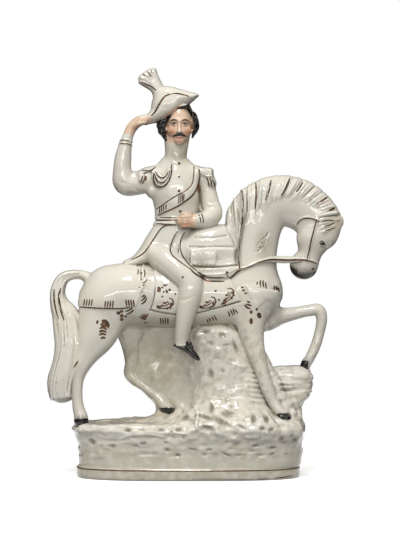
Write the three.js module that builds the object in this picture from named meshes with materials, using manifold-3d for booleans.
// A mantelpiece figure: an officer raising a cocked hat, on a stepping horse, with rockwork under
// the horse and an oval base. It is moulded and fired as one piece of glazed earthenware, so the
// whole group is one solid. Millimetres, +Z up, the horse faces +X and the decorated front faces
// -Y. The origin is the middle of the underside.
import * as THREE from "three";
import { mergeVertices } from "three/addons/utils/BufferGeometryUtils.js";
import Module from "manifold-3d";

const wasm = await Module();
wasm.setup();

// Driving dimensions
const BASE_LENGTH = 200; // along X, at the plinth
const BASE_DEPTH = 84; // along Y, at the plinth
const PLINTH_HEIGHT = 9.5; // up to the gilt line
const GROUND_HEIGHT = 48; // top of the modelled ground
const BARREL_Z = 162; // the horse's trunk
const BARREL_RADIUS = 28;
const NEAR_LEG_Y = -15; // legs on the decorated side
const FAR_LEG_Y = 8; // legs set into the rockwork
const SEAT_Z = 205; // the rider's hips
const SHOULDER_Z = 270; // the rider's shoulders
const HEAD_Z = 315; // the middle of the rider's head
const CLOTH_RELIEF = 1.6; // how far the saddlecloth stands proud
const UNDERSIDE_Z = 0;

const OVAL_POWER = 2.7; // 2 is an ellipse, more is squarer
const BASE_SIDES = 32; // facets round the base
const LEFT_FLARE = 2.6; // the ground leans out further under the tail
const RIGHT_FILL = 4; // the side goes straight up under the stump
const GROUND_LUMP = 1.1; // height of the lumps in the ground
const ROCK_LUMP = 2.2; // height of the lumps in the rockwork
const MANE_RELIEF = 1.5; // how far the mane stands proud of the neck's sides
const DEPTH = new THREE.Vector3(0, 1, 0);

// One station of a limb: the middle of the section, its half width in the side view and its
// half depth along Y.
const station = (x, y, z, half, deep) => ({
  at: new THREE.Vector3(x, y, z),
  size: new THREE.Vector3(half, deep, 0),
});

// A closed solid from a three.js geometry whose seams are merged.
function solid(geometry) {
  const bare = geometry.clone();
  bare.deleteAttribute("normal");
  bare.deleteAttribute("uv");
  const merged = mergeVertices(bare, 1e-3);
  const corners = Array.from(merged.index.array);
  const kept = [];
  for (let i = 0; i < corners.length; i += 3) {
    const [a, b, c] = corners.slice(i, i + 3);
    if (a !== b && b !== c && a !== c) kept.push(a, b, c);
  }
  const vertProperties = merged.attributes.position.array;
  const close = () => {
    const triVerts = new Uint32Array(kept);
    return new wasm.Manifold(new wasm.Mesh({ numProp: 3, vertProperties, triVerts }));
  };
  const made = close();
  if (made.volume() > 0) return made;
  for (let i = 0; i < kept.length; i += 3) [kept[i + 1], kept[i + 2]] = [kept[i + 2], kept[i + 1]];
  return close();
}

// A limb: a sphere drawn out along the smooth curve through its stations, with round ends.
// Its sections are ellipses, half wide in the side view and deep along Y, and swell by what
// swell(point, share of the way along, turn about the line) gives.
function limb(stations, sides = 9, perSpan = 1, swell = () => 0) {
  const capRings = 2;
  const spans = stations.length - 1;
  const rings = spans * perSpan + 2 * capRings;
  const line = new THREE.CatmullRomCurve3(stations.map((s) => s.at), false, "centripetal");
  const girth = new THREE.CatmullRomCurve3(stations.map((s) => s.size), false, "centripetal");
  const form = new THREE.SphereGeometry(1, sides, rings);
  const points = form.attributes.position;
  for (let ring = 0; ring <= rings; ring++) {
    const inCap = Math.min(ring, rings - ring, capRings) / capRings;
    const t = THREE.MathUtils.clamp((ring - capRings) / (rings - 2 * capRings), 0, 1);
    const centre = line.getPoint(t);
    const along = line.getTangent(t);
    const across = new THREE.Vector3().crossVectors(DEPTH, along).normalize();
    const deep = new THREE.Vector3().crossVectors(along, across);
    const size = girth.getPoint(t);
    const round = Math.sin((inCap * Math.PI) / 2);
    const past = Math.cos((inCap * Math.PI) / 2) * (ring * 2 < rings ? -1 : 1);
    centre.addScaledVector(along, past * Math.min(size.x, size.y));
    for (let side = 0; side <= sides; side++) {
      const turn = (2 * Math.PI * (side % sides)) / sides;
      const place = (grown) => centre
        .clone()
        .addScaledVector(across, Math.cos(turn) * round * (size.x + grown))
        .addScaledVector(deep, Math.sin(turn) * round * (size.y + grown));
      const p = place(swell(place(0), t, turn));
      points.setXYZ(ring * (sides + 1) + side, p.x, p.y, p.z);
    }
  }
  return solid(form);
}

// An ellipsoid with its middle at x, y, z.
function ellipsoid([x, y, z], [rx, ry, rz], sides = 10, rings = 8) {
  const form = new THREE.SphereGeometry(1, sides, rings);
  form.scale(rx, ry, rz);
  form.translate(x, y, z);
  return solid(form);
}

// A smooth, repeatable roughness between about -1 and 1, for rock and earth.
function rough(p, size, seed) {
  const wide = Math.sin((p.x * 1.7 + p.z * 0.6) / size + seed);
  const tall = Math.cos((p.z * 1.3 - p.y * 0.9) / size + 2 * seed);
  const cross = Math.sin((p.x * 0.8 - p.z * 1.9 + p.y) / size + 3 * seed);
  return 0.6 * wide * tall + 0.4 * cross;
}

// A boulder: a faceted ball pushed in and out by the roughness.
function boulder([x, y, z], [rx, ry, rz], seed, lump = ROCK_LUMP) {
  const form = new THREE.IcosahedronGeometry(1, 2);
  const points = form.attributes.position;
  const p = new THREE.Vector3();
  for (let i = 0; i < points.count; i++) {
    p.fromBufferAttribute(points, i);
    const out = p.clone();
    p.set(x + p.x * rx, y + p.y * ry, z + p.z * rz);
    p.addScaledVector(out, lump * rough(p, 6, seed));
    points.setXYZ(i, p.x, p.y, p.z);
  }
  return solid(form);
}

// A flat outline in the side view, pushed through from one depth to another.
function slab(corners, fromY, toY) {
  const outline = new THREE.Shape(corners.map(([x, z]) => new THREE.Vector2(x, z)));
  const form = new THREE.ExtrudeGeometry(outline, { depth: toY - fromY, bevelEnabled: false });
  form.rotateX(Math.PI / 2);
  form.translate(0, toY, 0);
  return solid(form);
}

const join = (parts) => parts.reduce((whole, part) => whole.add(part));

// The oval base: a plinth, a hollowed side that flares out to the ground, and lumpy ground.
function base() {
  const half = BASE_LENGTH / 2;
  const profile = [
    [0, UNDERSIDE_Z],
    [half - 6, UNDERSIDE_Z],
    [half - 1.5, 1.2],
    [half, 4],
    [half, PLINTH_HEIGHT - 1],
    [half - 2, PLINTH_HEIGHT + 0.6],
    [half - 1.8, 22],
    [half - 0.6, 34],
    [half + 1.6, GROUND_HEIGHT - 7],
    [half + 1.4, GROUND_HEIGHT - 2],
    [half - 4, GROUND_HEIGHT + 0.4],
    [half - 18, GROUND_HEIGHT + 1],
    [0, GROUND_HEIGHT + 2],
  ];
  const form = new THREE.LatheGeometry(profile.map(([r, z]) => new THREE.Vector2(r, z)), BASE_SIDES);
  const points = form.attributes.position;
  const p = new THREE.Vector3();
  const squared = (v) => Math.sign(v) * Math.abs(v) ** (2 / OVAL_POWER);
  for (let i = 0; i < points.count; i++) {
    p.fromBufferAttribute(points, i);
    const radius = Math.hypot(p.x, p.z);
    if (radius < 1) {
      points.setXYZ(i, 0, 0, p.y);
      continue;
    }
    const inset = (half - radius) * (radius < half - 12 ? BASE_DEPTH / BASE_LENGTH : 1);
    const x = squared(p.x / radius) * radius;
    const y = squared(p.z / radius) * (BASE_DEPTH / 2 - inset);
    const lump = p.y > PLINTH_HEIGHT + 1 ? GROUND_LUMP * rough(new THREE.Vector3(x, y, p.y), 7, 4) : 0;
    const out = 1 + lump / radius;
    const rise = THREE.MathUtils.smoothstep(p.y, 30, GROUND_HEIGHT - 3);
    const flare = x < 0 ? LEFT_FLARE * rise * (x / half) ** 2 : 0;
    const fill = x > 0 && p.y > PLINTH_HEIGHT ? RIGHT_FILL * (1 - rise) * (x / half) ** 3 : 0;
    points.setXYZ(i, x * out - flare + fill, y * out, p.y + (p.y > GROUND_HEIGHT - 3 ? lump : 0));
  }
  return solid(form);
}

// The rockwork that props the horse, the stump under the raised hoof and the mounds at their feet.
function rocks() {
  const craggy = (p) => ROCK_LUMP * rough(p, 8, 2);
  const wall = [
    station(26, 7, 50, 48, 15),
    station(24, 10, 64, 47, 14),
    station(16, 10, 80, 50, 13),
    station(7, 10, 94, 57, 12),
    station(6, 10, 110, 56, 12),
    station(4, 8, 124, 54, 12),
    station(4, 5, 137, 50, 12),
  ];
  const front = [
    station(36, -8, 56, 38, 18),
    station(38, -7, 72, 33, 16),
    station(36, -5, 92, 31, 15),
    station(31, -3, 112, 27, 14),
    station(26, -3, 126, 23, 13),
    station(26, -2, 138, 20, 12),
  ];
  const stump = [
    station(86, 4, 50, 15, 16),
    station(86.5, 4, 63, 15, 15),
    station(89.5, 5, 76, 19.5, 14),
    station(89.5, 6, 88, 20.5, 13),
    station(90.5, 7, 94.5, 15, 5.5),
  ];
  const brace = [
    station(64, 2, 108, 5, 8),
    station(70, 1, 94, 7, 9),
    station(80, 0, 74, 8, 10),
    station(90, 0, 56, 7, 9),
  ];
  return join([
    limb(wall, 18, 1, craggy),
    limb(front, 16, 1, craggy),
    limb(stump, 14, 1, (p) => rough(p, 5, 1)),
    limb(brace),
    boulder([30, -6, 50], [50, 27, 12], 5.2),
    boulder([-20, 2, 48], [28, 22, 9.5], 3.7, 1.2),
    boulder([-68, 0, 43], [34, 24, 8], 6.1, 1.2),
    boulder([86, -4, 48], [17, 24, 9], 7.4, 1.2),
  ]);
}

const TRUNK = [
  station(-71, 0, BARREL_Z - 1, BARREL_RADIUS - 1, 25),
  station(-52, 0, BARREL_Z + 1.6, BARREL_RADIUS + 0.6, 26),
  station(-20, 0, BARREL_Z, BARREL_RADIUS - 1, 26),
  station(15, 0, BARREL_Z, BARREL_RADIUS, 26),
  station(40, 0, BARREL_Z + 1, BARREL_RADIUS, 26),
  station(60.5, 0, BARREL_Z + 2, BARREL_RADIUS - 3, 23.5),
];
const NECK = [
  station(52, 0, 180, 27, 23),
  station(56, 0, 208, 24.5, 19),
  station(62, 0, 236, 26.5, 15),
  station(79, 0, 248, 22.5, 13.5),
  station(97.5, 0, 246, 23, 12.5),
  station(112.5, 0, 235.5, 21.5, 12),
  station(118, 0, 223.5, 18.6, 12.5),
  station(112.6, 0, 212, 15.6, 12.5),
  station(107.6, 0, 201, 11.4, 10.5),
  station(103.4, 0, 191, 12.4, 9.5),
  station(102, 0, 186, 12, 9),
];
const TAIL = [
  station(-86, 0, 174, 7, 8),
  station(-96, 0, 180.5, 4.4, 6),
  station(-105, 0, 181.2, 4.2, 7),
  station(-113.5, -1, 177.5, 5.8, 8),
  station(-118, -2, 167, 6.6, 8.5),
  station(-117, -3, 158, 7.6, 8.5),
  station(-111.5, -5, 146, 12, 9),
  station(-109, -8, 133, 12.6, 10),
  station(-108, -10, 118, 12.5, 10.5),
  station(-111, -11, 100, 11.5, 10.5),
  station(-115.5, -11, 83, 12, 9.5),
  station(-113.8, -11, 75, 10, 8.5),
];
const NEAR_HIND = [
  station(-76.5, -8, 150, 23, 16),
  station(-82, -12, 127, 19, 13),
  station(-91, NEAR_LEG_Y + 1, 109, 12, 10),
  station(-97.5, NEAR_LEG_Y, 97, 8.5, 8),
  station(-100.5, NEAR_LEG_Y, 86, 5.8, 6),
  station(-100.8, NEAR_LEG_Y, 72, 4.8, 5),
  station(-99.5, NEAR_LEG_Y, 60, 5.4, 5.5),
  station(-97.3, NEAR_LEG_Y, 51, 6.2, 6.5),
];
const FAR_HIND = [
  station(-53, FAR_LEG_Y - 2, 138, 16, 13),
  station(-52, FAR_LEG_Y, 116, 8.5, 8),
  station(-51.5, FAR_LEG_Y, 101, 6.6, 7),
  station(-53, FAR_LEG_Y, 90, 6.8, 6.5),
  station(-43, FAR_LEG_Y - 2, 82, 5, 5.8),
  station(-31.5, FAR_LEG_Y - 5, 73, 4.6, 5.5),
  station(-22, FAR_LEG_Y - 9, 65.2, 5.4, 6),
  station(-18.5, FAR_LEG_Y - 10, 60.5, 5.2, 5.5),
];
const NEAR_FORE = [
  station(58, -7, 158, 19, 17),
  station(56, -12, 138, 13, 12),
  station(58, NEAR_LEG_Y, 120, 9.5, 9),
  station(62.5, NEAR_LEG_Y - 1, 104, 7.3, 7.5),
  station(67, NEAR_LEG_Y - 2, 90, 6.3, 6.8),
  station(71, NEAR_LEG_Y - 3, 77, 5.8, 6.2),
  station(76.5, NEAR_LEG_Y - 3, 65, 5.2, 5.5),
  station(82, NEAR_LEG_Y - 4, 57, 5.6, 6),
  station(86, NEAR_LEG_Y - 4, 53.5, 5, 5.5),
];
const RAISED_FORE = [
  station(67, 5, 144, 15, 14),
  station(82, FAR_LEG_Y, 143, 9, 9),
  station(95, FAR_LEG_Y, 146.5, 5.8, 6.5),
  station(108, FAR_LEG_Y, 149, 5.3, 6),
  station(118, FAR_LEG_Y, 148.4, 6.8, 6.2),
  station(119.4, FAR_LEG_Y, 138, 5.6, 5.6),
  station(117.4, FAR_LEG_Y, 127, 5, 5.2),
  station(112.5, FAR_LEG_Y - 1, 114, 4.8, 5.2),
  station(106, FAR_LEG_Y - 2, 102, 4.6, 5.4),
  station(104.5, FAR_LEG_Y - 2, 97, 4.8, 5.4),
];

// The horse with its ears, forelock and brow. The mane lies over both sides of the crest.
function horse() {
  const maned = (p, t, turn) => {
    const under = t > 0.12 && t < 0.62 && Math.cos(turn) < -0.3 && Math.cos(turn) > -0.95;
    return under ? MANE_RELIEF : 0;
  };
  const ear = (y) => {
    const tip = station(136, y / 2, 230, 2.4, 2);
    return limb([station(121, y, 226, 3, 3), station(129, y, 230, 3.4, 3), tip], 6);
  };
  return join([
    limb(TRUNK, 16, 2),
    limb(NECK, 14, 2, maned),
    limb(TAIL),
    limb(NEAR_HIND),
    limb(FAR_HIND),
    limb(NEAR_FORE),
    limb(RAISED_FORE),
    ear(-8),
    ear(8),
    limb([station(124, 0, 232, 8, 8), station(132.5, 0, 227, 6, 8), station(132.5, 0, 218, 4, 7)], 8),
    limb([station(123, 0, 219, 7, 8), station(125, 0, 214, 6.5, 8)], 8),
  ]);
}

// The saddle and its stepped holster cover, the saddlecloth in low relief and the reins.
function saddlery() {
  const outline = [[-31, 190], [-34, 150], [-15, 146], [10, 148], [46, 157], [35, 190]];
  const cloth = limb(TRUNK, 16, 2, () => CLOTH_RELIEF).intersect(slab(outline, -45, 0));
  const seat = [station(5, 0, 209, 14.5, 19), station(18, 0, 207, 17, 21), station(33, 0, 206, 18.5, 19)];
  const lowRein = [
    station(44, -22, 186, 1.8, 2),
    station(58, -20, 191, 2, 2),
    station(70, -17, 195, 2.2, 2.4),
    station(80, -8, 194.8, 3.2, 3.2),
    station(91, -8, 194.8, 3, 3),
    station(104, -9.5, 194, 1.8, 1.6),
    station(116, -5, 190.5, 1.6, 1.6),
  ];
  return join([
    cloth,
    limb(seat, 12),
    limb([station(8, 0, 194, 12, 25), station(36, 0, 194, 12, 25)], 12),
    limb(lowRein, 6),
  ]);
}

// The rider's body, coat skirts, legs, arms and head.
function rider() {
  const right = [
    station(-36, 0, SHOULDER_Z - 5, 9.5, 9.5),
    station(-48, 0, SHOULDER_Z - 7.5, 11.4, 9.5),
    station(-58, -1, SHOULDER_Z - 6, 11.2, 9.5),
    station(-60, -2, SHOULDER_Z + 5, 8.9, 8.3),
    station(-59, -3, SHOULDER_Z + 17, 7.3, 7.5),
    station(-57, -4, SHOULDER_Z + 28, 5.8, 6.2),
    station(-54.5, -4, SHOULDER_Z + 36, 5, 5.4),
    station(-51, -4, SHOULDER_Z + 44, 5.2, 5),
    station(-45, -4, SHOULDER_Z + 49.5, 4.5, 5.5),
    station(-38, -4, SHOULDER_Z + 51.5, 4, 5.5),
  ];
  const left = [
    station(14, 0, SHOULDER_Z - 3, 8, 8.5),
    station(17.5, -1, SHOULDER_Z - 15, 7.5, 8),
    station(19.5, -3, SHOULDER_Z - 26, 8.3, 8),
    station(20.8, -6, SHOULDER_Z - 37, 9.2, 8),
    station(13, -10, SHOULDER_Z - 40, 8.6, 7.5),
    station(5, -14, SHOULDER_Z - 40.5, 6.4, 6),
    station(-1, -16, SHOULDER_Z - 41, 6, 5.4),
    station(-5.5, -16.5, SHOULDER_Z - 41.5, 5, 4.6),
  ];
  const nearLeg = [
    station(-32, -5, SEAT_Z - 4, 10, 13),
    station(-22, -12, SEAT_Z - 11, 12.5, 12.5),
    station(-10, -19, SEAT_Z - 20.5, 11.5, 11.5),
    station(1, -23, SEAT_Z - 31, 11.3, 10.5),
    station(1, -25, SEAT_Z - 41, 10.3, 9.5),
    station(-1.5, -25, SEAT_Z - 56, 8.8, 8.5),
    station(-4.2, -25, SEAT_Z - 71, 8.1, 8),
    station(-6.3, -25, SEAT_Z - 87, 6.2, 6.6),
  ];
  const torso = [
    station(-15, 0, SEAT_Z, 19, 17),
    station(-12.5, 0, SEAT_Z + 13, 18, 15),
    station(-12, 0, SEAT_Z + 25, 18, 13.5),
    station(-11, 0, SEAT_Z + 38, 20.5, 14.5),
    station(-11, 0, SEAT_Z + 51, 23.4, 15),
    station(-11, 0, SHOULDER_Z - 6, 19, 13),
  ];
  const shoulders = [
    station(-38, 0, SHOULDER_Z - 4, 9.5, 9.5),
    station(-24, 0, SHOULDER_Z + 1.5, 9.5, 10.5),
    station(-9, 0, SHOULDER_Z + 4, 9.5, 10.5),
    station(4, 0, SHOULDER_Z, 9, 10),
    station(14, 0, SHOULDER_Z - 3, 8.5, 9),
  ];
  const skirts = [
    station(-24, 2, SEAT_Z + 15, 10, 13),
    station(-29.5, 3, SEAT_Z + 2, 9.2, 16),
    station(-38.5, 2, SEAT_Z - 8, 7, 15),
    station(-52, 0, SEAT_Z - 15, 4.5, 12),
  ];
  const neck = [
    station(-11, 0, SHOULDER_Z + 4, 19, 10.5),
    station(-11, 0, SHOULDER_Z + 11, 13, 10),
    station(-10.5, 0, SHOULDER_Z + 20, 9.8, 9.5),
    station(-10.5, 0, HEAD_Z - 13, 9.5, 9.5),
  ];
  const farLeg = nearLeg.map((s) => station(s.at.x, -s.at.y + 1, s.at.z, s.size.x - 0.5, s.size.y - 3));
  const shoe = (y) => {
    const toe = station(7.5, y, 106.5, 2.8, 3.6);
    return limb([station(-4, y, 114, 3.6, 4), station(2, y, 111, 4.4, 4.4), toe], 8);
  };
  return join([
    limb(torso, 13),
    limb(shoulders),
    limb(skirts),
    limb(neck),
    limb([station(11, 1, SHOULDER_Z - 8, 5, 6), station(13, 1, SHOULDER_Z - 32, 5, 6)], 8),
    limb(right),
    limb(left),
    limb(nearLeg),
    limb(farLeg),
    shoe(-25.5),
    shoe(22),
    head(),
    hat(),
    ...epaulettes(),
  ]);
}

// A plain head: an egg-shaped face with nose and chin, and full side hair.
function head() {
  return join([
    ellipsoid([-8.5, 0, HEAD_Z + 2], [13, 13.5, 16.5], 12, 9),
    ellipsoid([-8.5, -3, HEAD_Z - 9], [8.5, 9.5, 8]),
    limb([station(-8.5, -12.5, HEAD_Z + 3, 1.2, 1.6), station(-8.5, -14.5, HEAD_Z - 3.5, 2, 2.2)], 6),
    limb([station(-22.5, 0, HEAD_Z + 3, 6.2, 9), station(-22, 0, HEAD_Z - 8, 4.2, 8)], 8),
    limb([station(2.5, 0, HEAD_Z + 4, 6.2, 9), station(3.5, 0, HEAD_Z - 7, 4, 8)], 8),
    ellipsoid([-4.5, 2, HEAD_Z + 13], [10, 10, 9]),
  ]);
}

// The cocked hat, tilted as it is raised, with its standing plume.
function hat() {
  const brim = [
    station(-38, -3, HEAD_Z + 8.5, 3.8, 5),
    station(-27, -2, HEAD_Z + 15.5, 9, 9),
    station(-17, -1, HEAD_Z + 23, 11.6, 10.5),
    station(-4, 0, HEAD_Z + 26, 7, 8.5),
    station(6.5, 0, HEAD_Z + 27.6, 1.6, 4),
  ];
  const plume = [
    station(-25, 0, HEAD_Z + 25, 7.5, 7),
    station(-28.5, 0, HEAD_Z + 34, 5.5, 6),
    station(-32.5, 0, HEAD_Z + 42, 7, 6),
    station(-32, 0, HEAD_Z + 47, 4.2, 4.8),
  ];
  return join([limb(brim, 12), limb(plume), ellipsoid([-37, 0, HEAD_Z + 43], [9, 5.5, 7.4])]);
}

// The shoulder boards and their fringes.
function epaulettes() {
  return [
    limb([station(4, 0, SHOULDER_Z + 4.5, 3.2, 8), station(17, 0, SHOULDER_Z + 3, 3.2, 8.5)], 8),
    limb([station(17, 0, SHOULDER_Z + 1, 4.5, 9), station(19.5, 0, SHOULDER_Z - 8, 5.2, 9)]),
    limb([station(-30, 0, SHOULDER_Z + 5.5, 3.2, 8), station(-42, 0, SHOULDER_Z + 1, 4, 9)]),
  ];
}

const figure = join([base(), rocks(), horse(), saddlery(), rider()]);

// The joined solid as a three.js geometry.
function geometryOf(made) {
  const mesh = made.getMesh();
  const form = new THREE.BufferGeometry();
  form.setAttribute("position", new THREE.BufferAttribute(new Float32Array(mesh.vertProperties), 3));
  form.setIndex(new THREE.BufferAttribute(mesh.triVerts, 1));
  form.computeVertexNormals();
  return form;
}

const glaze = new THREE.MeshStandardMaterial({ color: 0xdad6cb, roughness: 0.18, metalness: 0 });
const body = new THREE.Mesh(geometryOf(figure), glaze);
body.name = "equestrian_figure";

const group = new THREE.Group();
group.add(body);
export default group;
